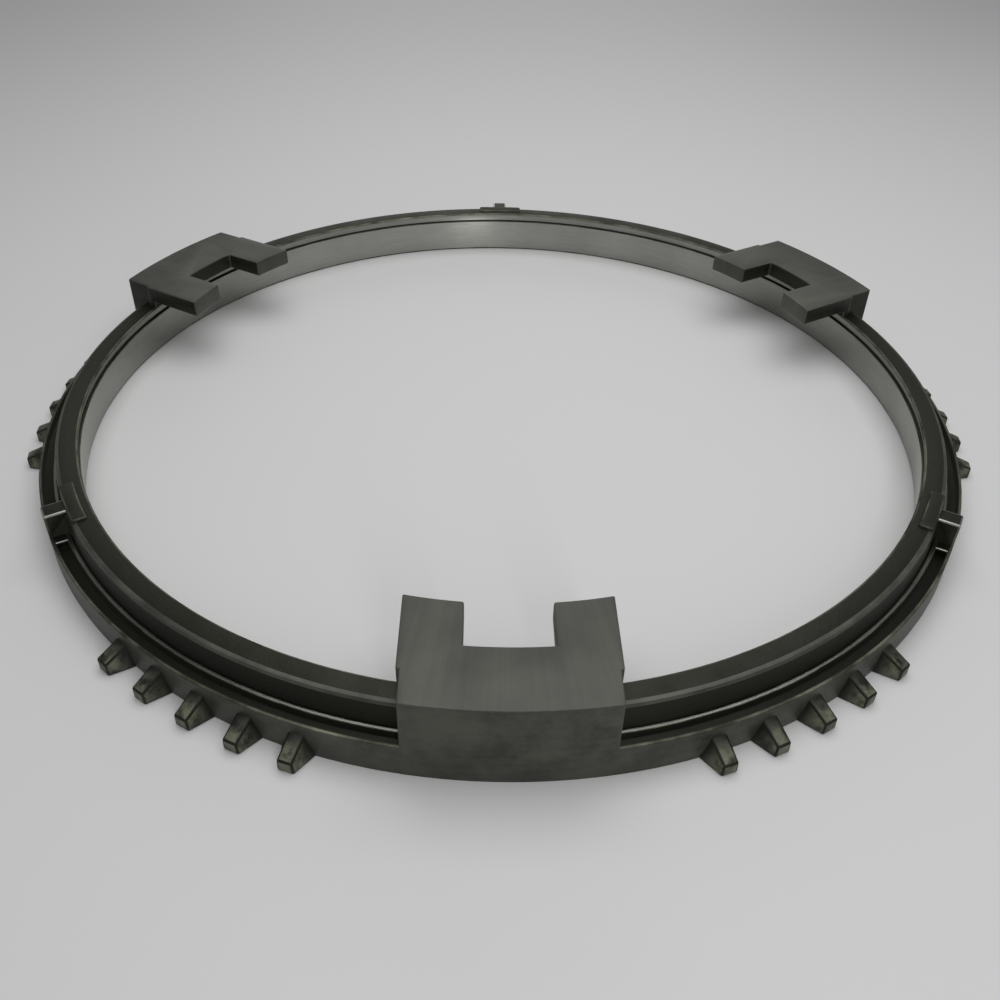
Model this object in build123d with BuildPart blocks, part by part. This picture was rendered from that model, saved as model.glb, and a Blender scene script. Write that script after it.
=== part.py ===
from build123d import *
from math import tan, radians
import os

os.makedirs("parts", exist_ok=True)

# Synchronizer cone, lying on its flange as in the photo: flange face down on z = 0,
# lugs up, ring axis on Z, one lug towards -Y. Lengths in mm, angles in degrees.

# Friction cone in the bore, widening downwards from its upper edge
bore_radius = 102.2
cone_half_angle = 6.5
foot_chamfer = 0.3

# Top of the ring: undercut above the cone, then a lip flush with the cone's upper edge
ring_height = 12.9
undercut_width = 2.0
undercut_depth = 0.8
lip_height = 0.6
lip_bevel = 0.3
top_land_width = 5.0
top_edge_break = 0.3

# Outside of the ring and the flange at its foot, out to the turned face
wall_batter = 0.4
relief_width = 0.35
relief_depth = 0.9
land_width = 0.85
groove_width = 2.3
groove_depth = 1.8
rim_width = 0.9
flange_height = 7.3
face_batter = 0.4

# Lugs with their overhanging, notched tabs
lug_count = 3
lug_angle = -90.0
lug_height = 18.75
lug_width = 37.6
lug_edge_break = 0.3
tab_width = 38.9
tab_seat_width = 2.0
tab_thickness = 4.3
tab_overhang = 15.2
notch_width = 16.3
notch_depth = 10.55

# Coupling teeth, a group on each side of every lug
tooth_positions = 66
teeth_per_group = 5
group_angle = 30.3
tooth_length = 4.8
tooth_seat = 1.0
tooth_root_width = 7.6
tooth_tip_width = 3.2
tooth_crest_width = 3.0
tooth_root_height = 5.0
tooth_tip_height = 2.8

# Stop ribs halfway between the lugs, each on a low pad, with the groove closed beside it
rib_width = 4.2
rib_seat = 1.2
bridge_width = 8.8
pad_width = 13.6
pad_length = 3.2
pad_height = 0.5

# Radii and heights that follow from the sizes above
lip_foot = ring_height - lip_height
cone_top = lip_foot - undercut_width
cone_foot_radius = bore_radius + (cone_top - foot_chamfer) * tan(radians(cone_half_angle))
wall_top_radius = bore_radius + top_land_width
wall_foot_radius = wall_top_radius + wall_batter
land_inner_radius = wall_foot_radius + relief_width
land_outer_radius = land_inner_radius + land_width
rim_inner_radius = land_outer_radius + groove_width
face_radius = rim_inner_radius + rim_width
stock_radius = face_radius + face_batter
tab_floor = lug_height - tab_thickness
tab_inner_radius = bore_radius - tab_overhang
tab_step_radius = bore_radius + tab_seat_width
notch_radius = tab_inner_radius + notch_depth
rib_angle = lug_angle + 180 / lug_count
tooth_pitch = 360 / tooth_positions

with BuildPart() as tooth:
    # Base line of the tooth where it is rooted in the flange, and at its tip
    with BuildSketch(Plane.YZ.offset(face_radius - tooth_seat)):
        with BuildLine():
            Polyline(
                (-tooth_root_width / 2, 0),
                (tooth_root_width / 2, 0),
                (tooth_crest_width / 2, tooth_root_height),
                (-tooth_crest_width / 2, tooth_root_height),
                close=True,
            )
        make_face()
    with BuildSketch(Plane.YZ.offset(face_radius + tooth_length)):
        with BuildLine():
            Polyline(
                (-tooth_tip_width / 2, 0),
                (tooth_tip_width / 2, 0),
                (tooth_crest_width / 2, tooth_tip_height),
                (-tooth_crest_width / 2, tooth_tip_height),
                close=True,
            )
        make_face()
    loft(ruled=True)

with BuildPart() as synchronizer_cone:
    # Ring and flange, turned from one section
    with BuildSketch(Plane.XZ):
        with BuildLine():
            Polyline(
                (cone_foot_radius + foot_chamfer, 0),
                (stock_radius, 0),
                (stock_radius, flange_height),
                (rim_inner_radius, flange_height),
                (rim_inner_radius, flange_height - groove_depth),
                (land_outer_radius, flange_height - groove_depth),
                (land_outer_radius, flange_height),
                (land_inner_radius, flange_height),
                (land_inner_radius, flange_height - relief_depth),
                (wall_foot_radius, flange_height - relief_depth),
                (wall_top_radius, ring_height - top_edge_break),
                (wall_top_radius - top_edge_break, ring_height),
                (bore_radius + lip_bevel, ring_height),
                (bore_radius, ring_height - lip_bevel),
                (bore_radius, lip_foot),
                (bore_radius + undercut_depth, lip_foot),
                (bore_radius + undercut_depth, cone_top),
                (bore_radius, cone_top),
                (cone_foot_radius, foot_chamfer),
                close=True,
            )
        make_face()
    revolve(axis=Axis.Z)

    # Low pads on the top of the ring, beside the stop ribs
    with BuildSketch(Plane.XY.offset(ring_height - top_edge_break)):
        with PolarLocations(wall_top_radius, lug_count, start_angle=rib_angle):
            Rectangle(2 * pad_length, pad_width)
        Circle(wall_top_radius, mode=Mode.INTERSECT)
    extrude(amount=pad_height + top_edge_break)

    # Lug posts rising from the flange
    with BuildSketch():
        with PolarLocations(stock_radius, lug_count, start_angle=lug_angle):
            Rectangle(4 * (stock_radius - tab_step_radius), lug_width)
        Circle(stock_radius, mode=Mode.INTERSECT)
        Circle(tab_step_radius, mode=Mode.SUBTRACT)
    extrude(amount=lug_height)

    # Shoulders that carry the tabs on the ring wall
    with BuildSketch(Plane.XY.offset(lip_foot)):
        with PolarLocations(bore_radius, lug_count, start_angle=lug_angle):
            Rectangle(4 * tab_seat_width, tab_width)
        Circle(tab_step_radius, mode=Mode.INTERSECT)
        Circle(bore_radius, mode=Mode.SUBTRACT)
    extrude(amount=lug_height - lip_foot)

    # Tabs over the bore, each with its notch open to the centre
    with BuildSketch(Plane.XY.offset(tab_floor)):
        with PolarLocations(bore_radius, lug_count, start_angle=lug_angle):
            Rectangle(4 * tab_overhang, tab_width)
        Circle(tab_step_radius, mode=Mode.INTERSECT)
        Circle(tab_inner_radius, mode=Mode.SUBTRACT)
        with BuildSketch(mode=Mode.PRIVATE) as notch:
            with PolarLocations(tab_inner_radius, lug_count, start_angle=lug_angle):
                Rectangle(4 * notch_depth, notch_width)
            Circle(notch_radius, mode=Mode.INTERSECT)
        add(notch.sketch, mode=Mode.SUBTRACT)
    extrude(amount=tab_thickness)

    # Bridges that close the groove, and the stop ribs that stand on them
    with BuildSketch():
        with PolarLocations(stock_radius, lug_count, start_angle=rib_angle):
            Rectangle(2 * (stock_radius - land_inner_radius), bridge_width)
        Circle(stock_radius, mode=Mode.INTERSECT)
    extrude(amount=flange_height)
    with BuildSketch():
        with PolarLocations(stock_radius, lug_count, start_angle=rib_angle):
            Rectangle(2 * (stock_radius - wall_top_radius + rib_seat), rib_width)
        Circle(stock_radius, mode=Mode.INTERSECT)
    extrude(amount=ring_height)

    # One turned outer face for flange, lugs and ribs
    with BuildSketch(Plane.XZ):
        with BuildLine():
            Polyline(
                (0, 0),
                (face_radius, 0),
                (face_radius - face_batter, lug_height),
                (0, lug_height),
                close=True,
            )
        make_face()
    revolve(axis=Axis.Z, mode=Mode.INTERSECT)

    # Broken edges all round the ground tops of the lugs
    lug_tops = synchronizer_cone.faces().group_by(Axis.Z)[-1]
    chamfer(lug_tops.edges(), lug_edge_break)

    # Coupling teeth on both sides of every lug
    for side in (-1, 1):
        for index in range(teeth_per_group):
            step = index - (teeth_per_group - 1) / 2
            angle = lug_angle + side * (group_angle + step * tooth_pitch)
            with PolarLocations(0, lug_count, start_angle=angle):
                add(tooth.part)

synchronizer_cone.part.label = "synchronizer_cone"
export_step(synchronizer_cone.part, "parts/synchronizer_cone.step")
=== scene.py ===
import bmesh
import bpy
from math import cos, pi, radians, sin, sqrt, tan
from mathutils import Matrix, Vector


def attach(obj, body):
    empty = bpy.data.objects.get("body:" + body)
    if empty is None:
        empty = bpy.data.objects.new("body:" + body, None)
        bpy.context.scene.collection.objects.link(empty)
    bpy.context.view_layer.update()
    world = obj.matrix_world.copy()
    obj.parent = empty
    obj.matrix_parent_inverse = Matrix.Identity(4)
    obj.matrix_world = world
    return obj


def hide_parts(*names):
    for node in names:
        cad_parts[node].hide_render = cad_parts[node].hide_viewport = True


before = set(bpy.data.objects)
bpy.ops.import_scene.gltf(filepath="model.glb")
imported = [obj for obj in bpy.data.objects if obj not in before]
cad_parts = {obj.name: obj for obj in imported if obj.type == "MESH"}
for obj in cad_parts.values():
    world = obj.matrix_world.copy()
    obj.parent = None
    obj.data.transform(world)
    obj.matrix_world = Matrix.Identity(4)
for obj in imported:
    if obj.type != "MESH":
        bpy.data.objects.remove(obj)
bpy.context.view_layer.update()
print("frame loaded:", sorted(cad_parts))

# Lengths are in millimetres here and become metres where the meshes are made.
mm = 0.001
node = "synchronizer_cone"


def addNode(tree, kind, settings, inputs):
    # a node whose inputs are set to values, or joined to the outputs given
    item = tree.nodes.new(kind)
    for name, value in settings.items():
        setattr(item, name, value)
    for key, value in inputs.items():
        if isinstance(value, bpy.types.NodeSocket):
            tree.links.new(value, item.inputs[key])
        else:
            item.inputs[key].default_value = value
    return item.outputs


def placeOf(tree):
    return addNode(tree, "ShaderNodeTexCoord", {}, {})["Object"]


def scaled(tree, vector, factors):
    return addNode(tree, "ShaderNodeVectorMath", {"operation": "MULTIPLY"}, {0: vector, 1: factors})[0]


def radiusOf(tree, place):
    # distance from the ring's axis, in metres
    flat = scaled(tree, place, (1.0, 1.0, 0.0))
    return addNode(tree, "ShaderNodeVectorMath", {"operation": "LENGTH"}, {0: flat})["Value"]


def directionOf(tree, place):
    # direction from the ring's axis, for marks that run outwards
    flat = scaled(tree, place, (1.0, 1.0, 0.0))
    return addNode(tree, "ShaderNodeVectorMath", {"operation": "NORMALIZE"}, {0: flat})[0]


def noiseOf(tree, vector, scale, detail=4.0, roughness=0.55):
    inputs = {"Vector": vector, "Scale": scale, "Detail": detail, "Roughness": roughness}
    return addNode(tree, "ShaderNodeTexNoise", {}, inputs)[0]


def mixOf(tree, factor, first, second):
    return addNode(tree, "ShaderNodeMix", {"data_type": "RGBA"}, {0: factor, 6: first, 7: second})[2]


def toneOf(tree, value, v):
    # from the finish's dark colour to its light one, over the middle part of a noise
    item = tree.nodes.new("ShaderNodeValToRGB")
    tree.links.new(value, item.inputs[0])
    for stop, position, colour in zip(item.color_ramp.elements, v["tones"], (v["dark"], v["light"])):
        stop.position, stop.color = position, (*colour, 1)
    return item.outputs[0]


def spread(tree, value, low, high):
    # a noise keeps mostly between 0.3 and 0.7
    inputs = {0: value, 1: 0.3, 2: 0.7, 3: low, 4: high}
    return addNode(tree, "ShaderNodeMapRange", {}, inputs)[0]


def startMaterial(name, v):
    material = bpy.data.materials.new(name)
    material.use_nodes = True
    shader = material.node_tree.nodes["Principled BSDF"]
    shader.inputs["Metallic"].default_value = v["metallic"]
    return material, material.node_tree, shader


def joinShader(tree, shader, v, colour, roughness, height):
    # colour, a noise for the roughness and one for the height of the surface
    tree.links.new(colour, shader.inputs["Base Color"])
    tree.links.new(spread(tree, roughness, *v["roughness"]), shader.inputs["Roughness"])
    inputs = {"Strength": v["bumpStrength"], "Distance": v["bumpDepth"] * mm, "Height": height}
    tree.links.new(addNode(tree, "ShaderNodeBump", {}, inputs)[0], shader.inputs["Normal"])


def drawGloss(tree, shader, amount):
    # turning marks run round the ring's axis and draw the gloss out across them
    around = addNode(tree, "ShaderNodeTangent", {"direction_type": "RADIAL", "axis": "Z"}, {})[0]
    tree.links.new(around, shader.inputs["Tangent"])
    shader.inputs["Anisotropic"].default_value = amount
    shader.inputs["Anisotropic Rotation"].default_value = 0.25


# In the finishes, noise scales are per metre, shares go from 0 to 1, and bump depths are in mm.
darkSkin = {
    "metallic": 0.1,
    "specular": 0.38,
    "specularTint": (1.0, 1.0, 0.84),
    "dark": (0.003, 0.003, 0.0025),
    "light": (0.0078, 0.0079, 0.0046),
    "tones": (0.40, 0.60),  # the part of the noise that goes from dark to light
    "grain": 1600.0,
    "patches": 130.0,
    "patchShare": 0.5,
    "turns": 420.0,  # turning marks across the flat faces
    "turnShare": 0.65,
    "drift": 0.012,  # how fast the marks change on their way round
    "roughness": (0.42, 0.62),
    "anisotropic": 0.8,
    "sheen": 0.025,
    "sheenRoughness": 0.5,
    "bumpStrength": 0.5,
    "bumpDepth": 0.12,
}


def makeSkin(v):
    material, tree, shader = startMaterial("darkSkin", v)
    place = placeOf(tree)
    grain = noiseOf(tree, place, v["grain"])
    patches = noiseOf(tree, place, v["patches"], 5.0, 0.65)
    across = addNode(tree, "ShaderNodeCombineXYZ", {}, {0: radiusOf(tree, place)})[0]
    drift = scaled(tree, place, (v["drift"], v["drift"], 0.0))
    marks = addNode(tree, "ShaderNodeVectorMath", {}, {0: across, 1: drift})[0]
    turns = noiseOf(tree, marks, v["turns"], 2.0)
    both = mixOf(tree, v["turnShare"], mixOf(tree, v["patchShare"], grain, patches), turns)
    joinShader(tree, shader, v, toneOf(tree, both, v), patches, grain)
    drawGloss(tree, shader, v["anisotropic"])
    shader.inputs["Specular IOR Level"].default_value = v["specular"]
    shader.inputs["Specular Tint"].default_value = (*v["specularTint"], 1)
    shader.inputs["Sheen Weight"].default_value = v["sheen"]
    shader.inputs["Sheen Roughness"].default_value = v["sheenRoughness"]
    return material


groundBore = {
    "metallic": 1.0,
    "dark": (0.30, 0.30, 0.278),
    "light": (0.43, 0.43, 0.40),
    "tones": (0.35, 0.65),
    "lines": 9000.0,  # turning marks, one above the other
    "drift": 0.012,
    "cloud": 60.0,
    "cloudShare": 0.4,
    "roughness": (0.30, 0.38),
    "anisotropic": 0.95,
    "bumpStrength": 0.25,
    "bumpDepth": 0.02,
}


def makeBore(v):
    material, tree, shader = startMaterial("groundBore", v)
    place = placeOf(tree)
    lines = noiseOf(tree, scaled(tree, place, (v["drift"], v["drift"], 1.0)), v["lines"], 3.0)
    cloud = noiseOf(tree, place, v["cloud"], 3.0)
    both = mixOf(tree, v["cloudShare"], lines, cloud)
    joinShader(tree, shader, v, toneOf(tree, both, v), lines, lines)
    drawGloss(tree, shader, v["anisotropic"])
    return material


groundTop = {
    "metallic": 0.3,
    "dark": (0.036, 0.038, 0.030),
    "light": (0.080, 0.083, 0.067),
    "tones": (0.35, 0.65),
    "bands": 9.0,  # broad bands that run outwards, per unit of direction
    "streaks": 70.0,  # fine marks in them
    "streakShare": 0.4,
    "cloud": 110.0,
    "cloudShare": 0.35,
    "roughness": (0.44, 0.56),
    "bumpStrength": 0.3,
    "bumpDepth": 0.02,
}


def makeGround(v):
    material, tree, shader = startMaterial("groundTop", v)
    place = placeOf(tree)
    direction = directionOf(tree, place)
    bands = noiseOf(tree, direction, v["bands"], 2.0)
    streaks = noiseOf(tree, direction, v["streaks"], 4.0, 0.65)
    cloud = noiseOf(tree, place, v["cloud"])
    both = mixOf(tree, v["cloudShare"], mixOf(tree, v["streakShare"], bands, streaks), cloud)
    joinShader(tree, shader, v, toneOf(tree, both, v), both, streaks)
    return material


turnedFace = {
    "metallic": 0.4,
    "dark": (0.036, 0.037, 0.029),
    "light": (0.079, 0.081, 0.065),
    "tones": (0.38, 0.60),
    "lines": 3000.0,
    "drift": 0.02,
    "patches": 110.0,
    "patchShare": 0.85,
    "roughness": (0.40, 0.55),
    "bumpStrength": 0.15,
    "bumpDepth": 0.02,
}


def makeFace(v):
    material, tree, shader = startMaterial("turnedFace", v)
    place = placeOf(tree)
    lines = noiseOf(tree, scaled(tree, place, (v["drift"], v["drift"], 1.0)), v["lines"], 3.0)
    patches = noiseOf(tree, place, v["patches"], 5.0, 0.65)
    both = mixOf(tree, v["patchShare"], lines, patches)
    joinShader(tree, shader, v, toneOf(tree, both, v), patches, lines)
    return material


forgedTooth = {
    "metallic": 0.25,
    "dark": (0.008, 0.008, 0.005),
    "light": (0.135, 0.140, 0.096),
    "tones": (0.36, 0.60),
    "mottle": 420.0,
    "rootShadeRadius": 112.4,  # painted shade at the tooth's root: dark up to here, in full tone from the next one
    "shadeEndRadius": 115.2,
    "roughness": (0.42, 0.60),
    "bumpStrength": 0.5,
    "bumpDepth": 0.15,
}


def makeForged(v):
    material, tree, shader = startMaterial("forgedTooth", v)
    place = placeOf(tree)
    mottle = noiseOf(tree, place, v["mottle"], 5.0, 0.6)
    # painted shade: the colour goes dark towards the root, where the tooth meets the flange
    radius = radiusOf(tree, place)
    reach = {0: radius, 1: v["rootShadeRadius"] * mm, 2: v["shadeEndRadius"] * mm, 3: 0.0, 4: 1.0}
    out = addNode(tree, "ShaderNodeMapRange", {}, reach)[0]
    colour = mixOf(tree, out, (*v["dark"], 1), toneOf(tree, mottle, v))
    joinShader(tree, shader, v, colour, mottle, mottle)
    return material


wornEdge = {
    "metallic": 0.7,
    "grazing": (0.25, 0.25, 0.25),  # dulls the gloss at low angles
    "dark": (0.040, 0.040, 0.030),
    "light": (0.145, 0.147, 0.112),
    "tones": (0.38, 0.62),
    "wear": 110.0,
    "grain": 2000.0,
    "roughness": (0.58, 0.42),  # smoother where it is worn bright
    "bumpStrength": 0.3,
    "bumpDepth": 0.08,
}


def makeEdge(v):
    material, tree, shader = startMaterial("wornEdge", v)
    place = placeOf(tree)
    wear = noiseOf(tree, place, v["wear"], 5.0, 0.6)
    grain = noiseOf(tree, place, v["grain"])
    joinShader(tree, shader, v, toneOf(tree, wear, v), wear, grain)
    shader.inputs["Specular Tint"].default_value = (*v["grazing"], 1)
    return material


# Every mesh carries the finishes in this order, so that the joins keep them.
skin, bore, ground, turned, forged, edge = range(6)
finishes = [
    makeSkin(darkSkin), makeBore(groundBore), makeGround(groundTop),
    makeFace(turnedFace), makeForged(forgedTooth), makeEdge(wornEdge),
]
print("finishes made:", len(finishes))

ring = {
    "steps": 240,  # facets round the full turn
    "edgeRound": 0.2,  # small radius on every turned edge
    "topRound": 0.9,  # the outer edge of the top is rounder
    "roundSteps": 2,
    "boreRadius": 102.2,
    "coneHalfAngle": 6.5,
    "footChamfer": 0.3,
    "height": 12.9,
    "undercutWidth": 2.0,
    "undercutDepth": 0.8,
    "lipHeight": 0.6,
    "lipBevel": 0.3,
    "topLandWidth": 5.0,
    "wallBatter": 0.4,
    "reliefWidth": 0.35,
    "reliefDepth": 0.9,
    "landWidth": 0.85,
    "grooveWidth": 2.3,
    "grooveDepth": 1.8,
    "rimWidth": 0.9,
    "flangeHeight": 7.3,
    "faceBatter": 0.4,
}


def turnedRadii(v):
    # radii of the section, each from the one inside it
    r = {}
    coneHeight = v["height"] - v["lipHeight"] - v["undercutWidth"] - v["footChamfer"]
    r["coneFoot"] = v["boreRadius"] + coneHeight * tan(radians(v["coneHalfAngle"]))
    r["undercut"] = v["boreRadius"] + v["undercutDepth"]
    r["wallTop"] = v["boreRadius"] + v["topLandWidth"]
    r["wallFoot"] = r["wallTop"] + v["wallBatter"]
    r["landIn"] = r["wallFoot"] + v["reliefWidth"]
    r["landOut"] = r["landIn"] + v["landWidth"]
    r["rimIn"] = r["landOut"] + v["grooveWidth"]
    r["face"] = r["rimIn"] + v["rimWidth"]
    return r


radii = turnedRadii(ring)
lugHeight = 18.75  # the whole part's height, over which the outer face leans in


def faceRadius(height):
    return radii["face"] - ring["faceBatter"] * height / lugHeight


def roundCorners(corners, steps):
    # each corner of a closed outline becomes a small arc, held to a third of its shorter side
    outline = []
    count = len(corners)
    for index, (radius, height, rounding, arcFinish, sideFinish) in enumerate(corners):
        here = Vector((radius, height))
        back = Vector(corners[index - 1][:2]) - here
        ahead = Vector(corners[(index + 1) % count][:2]) - here
        reach = min(rounding, back.length / 3, ahead.length / 3)
        start = here + back.normalized() * reach
        end = here + ahead.normalized() * reach
        for step in range(steps + 1):
            t = step / steps
            point = (1 - t) ** 2 * start + 2 * t * (1 - t) * here + t ** 2 * end
            outline.append((point, sideFinish if step == steps else arcFinish))
    return outline


def newObject(name, bm):
    bmesh.ops.remove_doubles(bm, verts=bm.verts, dist=1e-8)
    bmesh.ops.recalc_face_normals(bm, faces=bm.faces)
    mesh = bpy.data.meshes.new(name)
    bm.to_mesh(mesh)
    bm.free()
    for finish in finishes:
        mesh.materials.append(finish)
    obj = bpy.data.objects.new(name, mesh)
    bpy.context.scene.collection.objects.link(obj)
    return obj


def turnedRing(v):
    top, flange = v["height"], v["flangeHeight"]
    lipFoot = top - v["lipHeight"]
    coneTop = lipFoot - v["undercutWidth"]
    small = v["edgeRound"]
    # radius and height of each corner, its rounding, its finish, and that of the side after it
    corners = [
        (radii["coneFoot"] + v["footChamfer"], 0, small, edge, skin),
        (radii["face"], 0, small, edge, turned),
        (faceRadius(flange), flange, small, edge, edge),
        (radii["rimIn"], flange, small, skin, skin),
        (radii["rimIn"], flange - v["grooveDepth"], small, skin, skin),
        (radii["landOut"], flange - v["grooveDepth"], small, skin, skin),
        (radii["landOut"], flange, small, edge, bore),
        (radii["landIn"], flange, small, edge, skin),
        (radii["landIn"], flange - v["reliefDepth"], small, skin, skin),
        (radii["wallFoot"], flange - v["reliefDepth"], small, skin, skin),
        (radii["wallTop"], top, v["topRound"], turned, skin),
        (v["boreRadius"] + v["lipBevel"], top, small, edge, edge),
        (v["boreRadius"], top - v["lipBevel"], small, edge, bore),
        (v["boreRadius"], lipFoot, small, edge, skin),
        (radii["undercut"], lipFoot, small, skin, bore),
        (radii["undercut"], coneTop, small, skin, skin),
        (v["boreRadius"], coneTop, small, edge, bore),
        (radii["coneFoot"], v["footChamfer"], small, edge, edge),
    ]
    section = roundCorners(corners, v["roundSteps"])
    bm = bmesh.new()
    rows = []
    for step in range(v["steps"]):
        turn = 2 * pi * step / v["steps"]
        rows.append([
            bm.verts.new((point.x * cos(turn) * mm, point.x * sin(turn) * mm, point.y * mm))
            for point, finish in section
        ])
    for step in range(v["steps"]):
        here, there = rows[step], rows[(step + 1) % v["steps"]]
        for index in range(len(section)):
            after = (index + 1) % len(section)
            side = bm.faces.new((here[index], there[index], there[after], here[after]))
            side.material_index = section[index][1]
    return newObject("synchronizerCone", bm)


body = turnedRing(ring)
print("ring turned:", len(body.data.polygons), "faces")

seam = 0.02  # added pieces stop this short of a flush face, so that no two faces share a plane

lug = {
    "count": 3,
    "angle": -90.0,  # the first lug's direction
    "width": 37.6,
    "tabWidth": 38.9,
    "tabSeatWidth": 2.0,
    "tabThickness": 4.3,
    "tabOverhang": 15.2,
    "notchWidth": 16.3,
    "notchDepth": 10.55,
    "foot": 4.0,  # the post starts at this height, inside the flange
    "arcSteps": 24,
    "edgeRound": 0.32,
}


def arcPoints(radius, start, end, steps):
    # points (out, aside) on an arc about the ring's axis, between two distances from the centre line
    asides = [start + (end - start) * step / steps for step in range(steps + 1)]
    return [(sqrt(radius ** 2 - aside ** 2), aside) for aside in asides]


def addFace(bm, points, finish=skin):
    # points are (out, aside, height), for a blank that points along +X
    side = bm.faces.new([bm.verts.new((out * mm, aside * mm, height * mm)) for out, aside, height in points])
    side.material_index = finish


def addCap(bm, points, height, finish=skin):
    addFace(bm, [(*point, height) for point in points], finish)


def addWall(bm, lower, low, upper, high, finish=skin):
    for index in range(len(lower) - 1):
        pair = slice(index, index + 2)
        foot = [(*point, low) for point in lower[pair]]
        head = [(*point, high) for point in upper[pair]]
        addFace(bm, foot + head[::-1], finish)


def lugBlank(v):
    # one closed solid: notched tab, shoulder on the ring wall, post on the flange
    top, foot = lugHeight, v["foot"]
    under = top - v["tabThickness"]
    shelf = ring["height"] - (ring["lipHeight"] + ring["lipBevel"]) / 2
    half, wide, notch = v["width"] / 2, v["tabWidth"] / 2, v["notchWidth"] / 2
    step = ring["boreRadius"] + v["tabSeatWidth"]
    inner = ring["boreRadius"] - v["tabOverhang"]
    many, few = v["arcSteps"], v["arcSteps"] // 3
    faceLow = arcPoints(faceRadius(foot) - seam, -half, half, many)
    faceHigh = arcPoints(faceRadius(top) - seam, -half, half, many)
    rightInner = arcPoints(inner, wide, notch, few)
    leftInner = arcPoints(inner, -notch, -wide, few)
    notchArc = arcPoints(inner + v["notchDepth"], notch, -notch, few)
    notchWall = [rightInner[-1]] + notchArc + [leftInner[0]]
    tabEdge = rightInner + notchArc + leftInner
    seat = arcPoints(ring["boreRadius"] + seam, wide, -wide, many)
    stepArc = arcPoints(step, half, -half, many)
    stepRight, stepLeft = arcPoints(step, wide, wide, 1)[0], arcPoints(step, -wide, -wide, 1)[0]
    bm = bmesh.new()
    addCap(bm, faceHigh + [stepArc[0], stepRight] + tabEdge + [stepLeft, stepArc[-1]], top, ground)
    addCap(bm, tabEdge + seat[::-1], under)
    addCap(bm, seat + [stepLeft] + stepArc[::-1] + [stepRight], shelf)
    addCap(bm, faceLow + stepArc, foot)
    addWall(bm, faceLow, foot, faceHigh, top, turned)
    addWall(bm, rightInner, under, rightInner, top, ground)
    addWall(bm, leftInner, under, leftInner, top, ground)
    addWall(bm, notchWall, under, notchWall, top)
    addWall(bm, seat, shelf, seat, under)
    addWall(bm, stepArc, foot, stepArc, shelf)
    for outer, end in ((stepRight, stepArc[0]), (stepLeft, stepArc[-1])):
        addWall(bm, [outer, end], shelf, [outer, end], top)
    # the tab's two sides, then the post's
    for outer, seatEnd, tabEnd in ((stepRight, seat[0], rightInner[0]), (stepLeft, seat[-1], leftInner[-1])):
        addFace(bm, [
            (*outer, shelf), (*outer, top), (*tabEnd, top), (*tabEnd, under), (*seatEnd, under), (*seatEnd, shelf),
        ])
    for end, inside in ((-1, stepArc[0]), (0, stepArc[-1])):
        addFace(bm, [
            (*inside, foot), (*faceLow[end], foot), (*faceHigh[end], top), (*inside, top), (*inside, shelf),
        ])
    return newObject("lug", bm)


def applyModifiers(obj):
    shape = bpy.data.meshes.new_from_object(obj.evaluated_get(bpy.context.evaluated_depsgraph_get()))
    obj.modifiers.clear()
    old = obj.data
    obj.data = shape
    bpy.data.meshes.remove(old)


def roundEdges(obj, size, finish):
    bevel = obj.modifiers.new("edges", "BEVEL")
    bevel.width = size * mm
    bevel.segments = 2
    bevel.limit_method = "ANGLE"
    bevel.angle_limit = radians(35)
    bevel.material = finish
    applyModifiers(obj)


def turnedCopies(blank, angles):
    # joins copies of a blank at these angles round the ring
    bm = bmesh.new()
    for angle in angles:
        start = len(bm.verts)
        bm.from_mesh(blank.data)
        bm.verts.ensure_lookup_table()
        bmesh.ops.rotate(bm, verts=bm.verts[start:], matrix=Matrix.Rotation(radians(angle), 3, "Z"))
    bpy.data.objects.remove(blank)
    return newObject("copies", bm)


def uniteWith(pieces):
    join = body.modifiers.new("join", "BOOLEAN")
    join.operation = "UNION"
    join.solver = "EXACT"
    join.object = pieces
    applyModifiers(body)
    bpy.data.objects.remove(pieces)


lugAngles = [lug["angle"] + 360 / lug["count"] * index for index in range(lug["count"])]
ribAngles = [angle + 180 / lug["count"] for angle in lugAngles]

lugPiece = lugBlank(lug)
roundEdges(lugPiece, lug["edgeRound"], ground)
uniteWith(turnedCopies(lugPiece, lugAngles))
print("lugs joined:", len(body.data.polygons), "faces")

rib = {
    "width": 4.2,
    "seat": 1.2,  # how far the rib reaches in under the top of the ring
    "bridgeWidth": 8.8,
    "padWidth": 13.6,
    "padLength": 3.2,
    "padHeight": 0.5,
    "foot": 4.0,  # rib and bridge start at this height, inside the flange
    "arcSteps": 6,
    "edgeRound": 0.4,
}


def ribBlock(v, name, inner, outerLow, outerHigh, width, low, high):
    # a block whose inner and outer ends are arcs about the ring's axis
    half, steps = width / 2, v["arcSteps"]
    ends = arcPoints(inner, half, -half, steps)
    outLow = arcPoints(outerLow, -half, half, steps)
    outHigh = arcPoints(outerHigh, -half, half, steps)
    bm = bmesh.new()
    addCap(bm, outLow + ends, low)
    addCap(bm, outHigh + ends, high)
    addWall(bm, outLow + ends + outLow[:1], low, outHigh + ends + outHigh[:1], high)
    return newObject(name, bm)


def joinRibPiece(v, piece, finish):
    # worn bright only along the top: the upright edges keep the duller finish
    roundEdges(piece, v["edgeRound"], finish)
    for side in piece.data.polygons:
        if side.material_index == bore and side.normal.z < 0.3:
            side.material_index = edge
    uniteWith(turnedCopies(piece, ribAngles))


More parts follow.
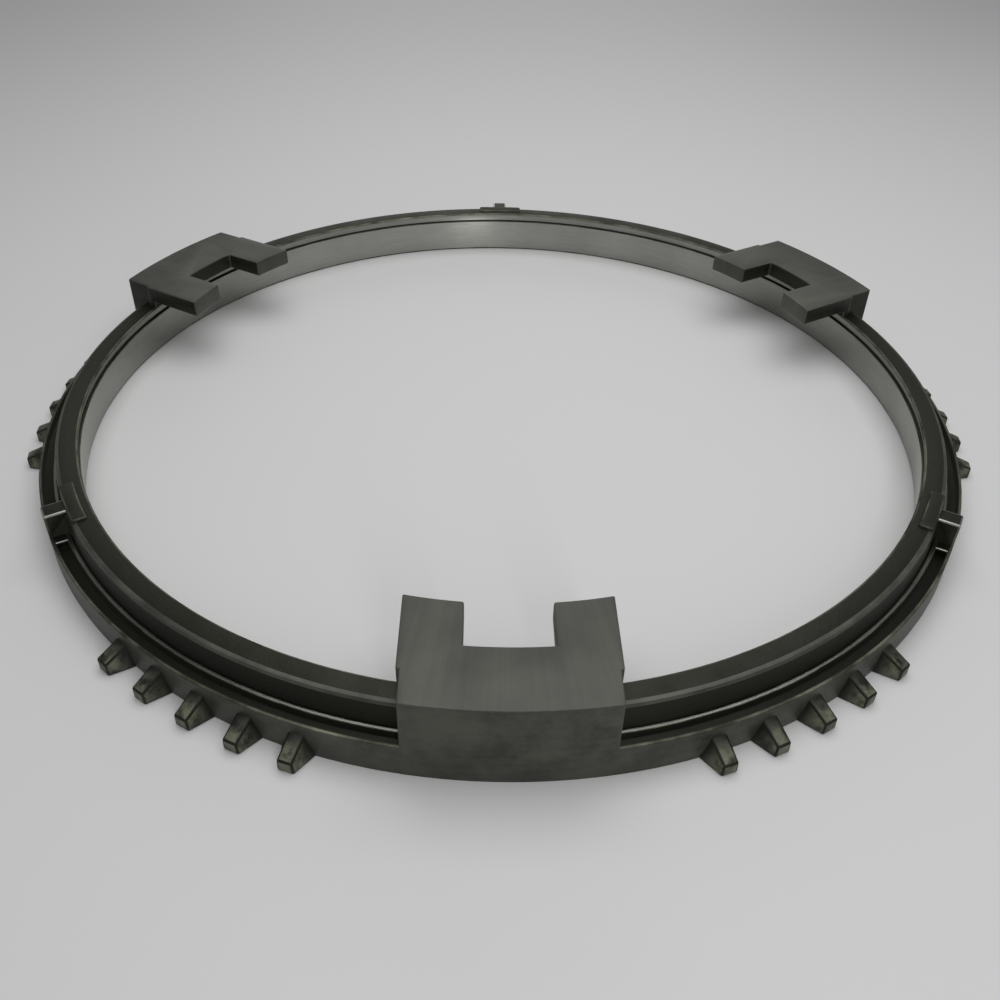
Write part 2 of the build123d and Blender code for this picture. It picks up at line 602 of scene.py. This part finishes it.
def joinRibs(v):
    top, flange, foot = ring["height"], ring["flangeHeight"], v["foot"]
    joinRibPiece(v, ribBlock(
        v, "bridge", radii["landIn"] - seam, faceRadius(foot) - seam, faceRadius(flange) - seam,
        v["bridgeWidth"], foot, flange - seam,
    ), bore)
    joinRibPiece(v, ribBlock(
        v, "rib", radii["wallTop"] - v["seat"], faceRadius(foot) - 2 * seam, faceRadius(top) - 2 * seam,
        v["width"], foot, top + seam,
    ), bore)
    joinRibPiece(v, ribBlock(
        v, "pad", radii["wallTop"] - v["padLength"], radii["wallTop"] - seam, radii["wallTop"] - seam,
        v["padWidth"], top - v["padHeight"], top + v["padHeight"],
    ), edge)


joinRibs(rib)
print("stop ribs joined:", len(body.data.polygons), "faces")

teeth = {
    "positions": 66,  # of the full gearing
    "perGroup": 5,
    "groupAngle": 30.3,  # from the middle of a lug to the middle of a group
    "length": 4.8,
    "seat": 1.0,  # sunk into the flange
    "rootWidth": 7.6,
    "tipWidth": 3.2,
    "crestWidth": 3.0,
    "rootHeight": 5.0,
    "tipHeight": 2.8,
    "edgeRound": 0.35,
}


def toothBlank(v):
    # a wedge with a narrow crest that falls towards the tip
    bm = bmesh.new()
    ends = []
    for out, width, height in (
        (radii["face"] - v["seat"], v["rootWidth"], v["rootHeight"]),
        (radii["face"] + v["length"], v["tipWidth"], v["tipHeight"]),
    ):
        half, crest = width / 2, v["crestWidth"] / 2
        corners = [(-half, seam), (half, seam), (crest, height), (-crest, height)]
        ends.append([bm.verts.new((out * mm, aside * mm, up * mm)) for aside, up in corners])
    root, tip = ends
    bm.faces.new(root)
    bm.faces.new(tip)
    for index in range(4):
        after = (index + 1) % 4
        bm.faces.new((root[index], root[after], tip[after], tip[index]))
    for side in bm.faces:
        side.material_index = forged
    return newObject("tooth", bm)


def toothAngles(v):
    pitch = 360 / v["positions"]
    steps = [index - (v["perGroup"] - 1) / 2 for index in range(v["perGroup"])]
    return [
        lugAngle + side * (v["groupAngle"] + step * pitch)
        for lugAngle in lugAngles for side in (-1, 1) for step in steps
    ]


tooth = toothBlank(teeth)
roundEdges(tooth, teeth["edgeRound"], skin)
uniteWith(turnedCopies(tooth, toothAngles(teeth)))
print("teeth joined:", len(body.data.polygons), "faces")

body.data.polygons.foreach_set("use_smooth", [True] * len(body.data.polygons))
body.data.set_sharp_from_angle(angle=radians(32))
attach(body, "root")
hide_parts(node)

# Places and sizes of the stage and the camera are in metres, angles in degrees.
stage = {
    "floorColour": (0.60, 0.60, 0.60),
    "floorRoughness": 0.7,
    "floorSize": 20.0,
    "keyPower": 1.88,
    "keyPlace": (0.05, 0.01, 0.44),
    "keySize": (0.55, 0.55),
    "stripPower": 0.32,
    "stripPlace": (0.076, -0.39, 0.22),
    "stripSize": (0.02, 0.26),
    "stripTilt": -75.0,
    "stripTurn": 9.0,  # so that it faces the back of the bore
    "backPower": 1.1,
    "backPlace": (0.0, 0.92, 0.34),
    "backSize": (0.6, 0.5),
    "backTilt": 70.0,
    "worldColour": (0.80, 0.80, 0.80),
    "worldStrength": 0.25,
}


def layFloor(v):
    bm = bmesh.new()
    bmesh.ops.create_grid(bm, x_segments=1, y_segments=1, size=v["floorSize"] / 2)
    mesh = bpy.data.meshes.new("floor")
    bm.to_mesh(mesh)
    bm.free()
    floor = bpy.data.objects.new("floor", mesh)
    bpy.context.scene.collection.objects.link(floor)
    paint = bpy.data.materials.new("floorPaint")
    paint.use_nodes = True
    surface = paint.node_tree.nodes["Principled BSDF"]
    surface.inputs["Base Color"].default_value = (*v["floorColour"], 1)
    surface.inputs["Roughness"].default_value = v["floorRoughness"]
    mesh.materials.append(paint)


def softBox(name, power, place, size, tilt=0, turn=0):
    # shines straight down, or is tilted towards -Y, or towards +Y where negative, and then turned
    lamp = bpy.data.lights.new(name, "AREA")
    lamp.shape = "RECTANGLE"
    lamp.size, lamp.size_y = size
    lamp.energy = power
    box = bpy.data.objects.new(name, lamp)
    box.location = place
    box.rotation_euler = (radians(-tilt), 0, radians(turn))
    box.visible_camera = False
    bpy.context.scene.collection.objects.link(box)


def hangLights(v):
    softBox("key", v["keyPower"], v["keyPlace"], v["keySize"])
    softBox("strip", v["stripPower"], v["stripPlace"], v["stripSize"], v["stripTilt"], v["stripTurn"])
    softBox("back", v["backPower"], v["backPlace"], v["backSize"], v["backTilt"])
    world = bpy.data.worlds.new("studio")
    world.use_nodes = True
    sky = world.node_tree.nodes["Background"]
    sky.inputs["Color"].default_value = (*v["worldColour"], 1)
    sky.inputs["Strength"].default_value = v["worldStrength"]
    bpy.context.scene.world = world


layFloor(stage)
hangLights(stage)
print("stage lit")

# The camera was found from the turned circles and lug corners in the picture.
camera = {
    "place": (-0.00512, -0.21091, 0.14362),
    "heading": 88.61,  # from +X to the view direction, seen from above
    "down": 39.14,
    "roll": 1.45,
    "lens": 34.8,  # mm, on a sensor of the next width
    "sensor": 36.0,
}


def placeCamera(v):
    data = bpy.data.cameras.new("camera")
    data.lens = v["lens"]
    data.sensor_width = v["sensor"]
    data.clip_start = 0.01
    eye = bpy.data.objects.new("camera", data)
    heading, down, roll = radians(v["heading"]), radians(v["down"]), radians(v["roll"])
    ahead = Vector((cos(heading) * cos(down), sin(heading) * cos(down), -sin(down)))
    right = Vector((sin(heading), -cos(heading), 0))
    up = right.cross(ahead)
    right, up = cos(roll) * right + sin(roll) * up, cos(roll) * up - sin(roll) * right
    turn = Matrix((right, up, -ahead)).transposed()
    eye.matrix_world = Matrix.Translation(v["place"]) @ turn.to_4x4()
    bpy.context.scene.collection.objects.link(eye)
    bpy.context.scene.camera = eye


placeCamera(camera)
bpy.context.scene.view_settings.view_transform = "Standard"
